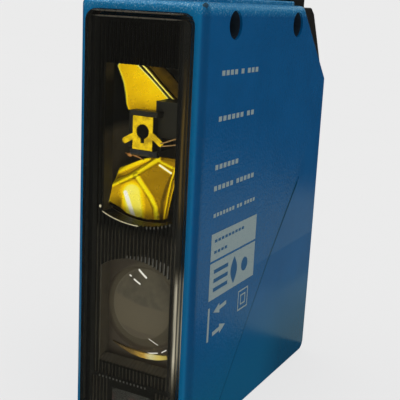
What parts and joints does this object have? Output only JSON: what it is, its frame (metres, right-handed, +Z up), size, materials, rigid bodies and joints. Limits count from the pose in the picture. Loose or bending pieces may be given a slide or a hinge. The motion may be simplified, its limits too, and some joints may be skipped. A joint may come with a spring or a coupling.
{
  "type": "photoelectric sensor",
  "caption": "Compact block photoelectric sensor: blue die-cast housing, tall front window over ribbed optics, flip-up service lid and a swivelling round connector.",
  "frame": {"origin": "middle of the width and of the overall depth, on the flat end that the sensor stands on", "axes": "+Z up towards the connector end, -Y out of the optical window, +X across the width towards the printed flank"},
  "size_m": [0.027, 0.065, 0.1055],
  "materials": {
    "blue_powder_coat": "fine textured powder coat on a die casting",
    "window_plastic": "clear hard-coated moulding, polished",
    "seal_rubber": "matt",
    "black_plastic": "satin moulded",
    "dark_grey_plastic": "satin moulded",
    "gilt": "polished gold plating",
    "copper": "bright drawn",
    "circuit_board": "solder resist",
    "lens_plastic": "polished clear moulding",
    "indicator_plastic": "translucent",
    "red_lamp": "translucent",
    "steel": "zinc plated",
    "white_plastic": "satin moulded",
    "knob_plastic": "satin moulded",
    "smoked_plastic": "smoked clear moulding",
    "nickel_plated": "nickel plated brass",
    "wire_insulation": "extruded insulation"
  },
  "bodies": {
    "base": {"board_headers": "white_plastic", "board_rails": "dark_grey_plastic", "board_screws": "steel", "capacitors": "steel", "carrier_clip": "copper", "control_board": "circuit_board", "control_plate": "black_plastic", "control_seal": "seal_rubber", "detector_carrier": "dark_grey_plastic", "front_window": "window_plastic", "harness": "wire_insulation", "housing": "blue_powder_coat", "indicator_led": "red_lamp", "indicator_lens": "indicator_plastic", "inductor": "dark_grey_plastic", "lead_frame": "gilt", "lid_hinge_pin": "steel", "lower_mirror": "gilt", "main_board": "circuit_board", "microcontroller": "black_plastic", "mode_switch": "white_plastic", "optics_block": "black_plastic", "output_transistors": "black_plastic", "photodiode": "black_plastic", "receiver_board": "circuit_board", "sender_board": "circuit_board", "sender_led": "lens_plastic", "sender_lens": "lens_plastic", "sender_reflector": "gilt", "sender_tube": "black_plastic", "sense_wires": "copper", "sensitivity_potentiometer": "white_plastic", "status_leds": "red_lamp", "status_light_pipes": "indicator_plastic", "upper_mirror": "gilt", "window_seal": "seal_rubber"},
    "connector": {"connector_turret": "black_plastic", "turret_seal": "seal_rubber", "turret_retainer": "steel", "connector_shell": "nickel_plated", "connector_insert": "black_plastic", "connector_pins": "gilt"},
    "lid": {"control_lid": "smoked_plastic"},
    "sensitivity_dial": {"sensitivity_knob": "knob_plastic"},
    "mode_dial": {"mode_selector": "knob_plastic"}
  },
  "joints": [
    {"name": "lid_hinge", "type": "hinge", "parent": "base", "child": "lid", "pos_m": [0, 0.0313, 0.0446], "axis": [1, 0, 0], "range_deg": [0, 110]},
    {"name": "sensitivity_turn", "type": "hinge", "parent": "base", "child": "sensitivity_dial", "pos_m": [0, 0.029, 0.034], "axis": [0, 1, 0], "range_deg": [-135, 135]},
    {"name": "mode_turn", "type": "hinge", "parent": "base", "child": "mode_dial", "pos_m": [0, 0.029, 0.024], "axis": [0, 1, 0], "range_deg": [0, 90]},
    {"name": "connector_swivel", "type": "hinge", "parent": "base", "child": "connector", "pos_m": [0, 0.02425, 0.07925], "axis": [0, 0.7071, 0.7071], "range_deg": [0, 180]}
  ]
}
